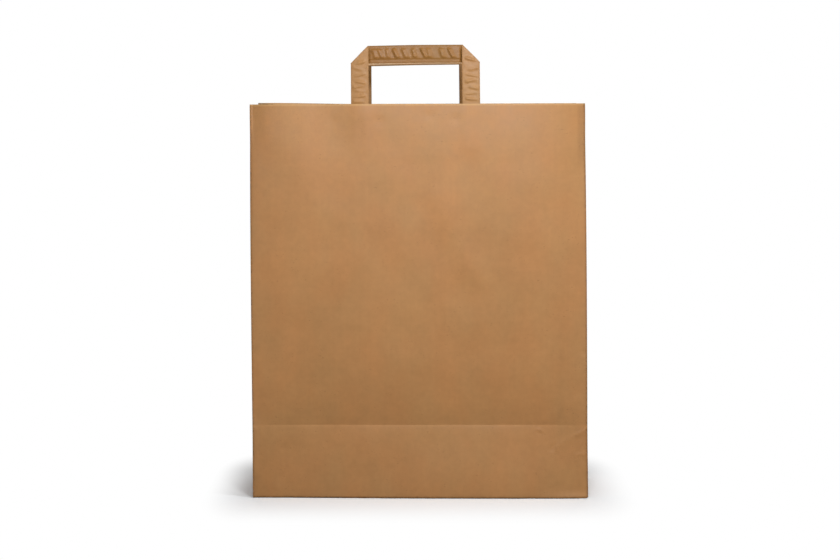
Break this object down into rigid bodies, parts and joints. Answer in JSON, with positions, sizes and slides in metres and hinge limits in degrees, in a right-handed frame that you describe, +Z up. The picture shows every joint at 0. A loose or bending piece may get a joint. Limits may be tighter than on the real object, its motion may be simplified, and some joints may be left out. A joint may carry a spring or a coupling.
{
  "type": "paper carrier bag",
  "caption": "Kraft paper carrier bag with flat folded-strip handles, V gussets and a block bottom, standing open.",
  "frame": {"origin": "middle of the base, on the surface that the bag stands on", "axes": "+Z up towards the mouth and the handles, -Y towards the front panel, +X to the right as seen from the front"},
  "size_m": [0.3215, 0.141, 0.4314],
  "materials": {
    "kraft_body": "matte",
    "kraft_handle": "matte",
    "kraft_patch": "matte"
  },
  "bodies": {
    "root": {"bag_body": "kraft_body", "front_handle": "kraft_handle", "rear_handle": "kraft_handle", "front_handle_patch": "kraft_patch", "rear_handle_patch": "kraft_patch"}
  },
  "joints": []
}
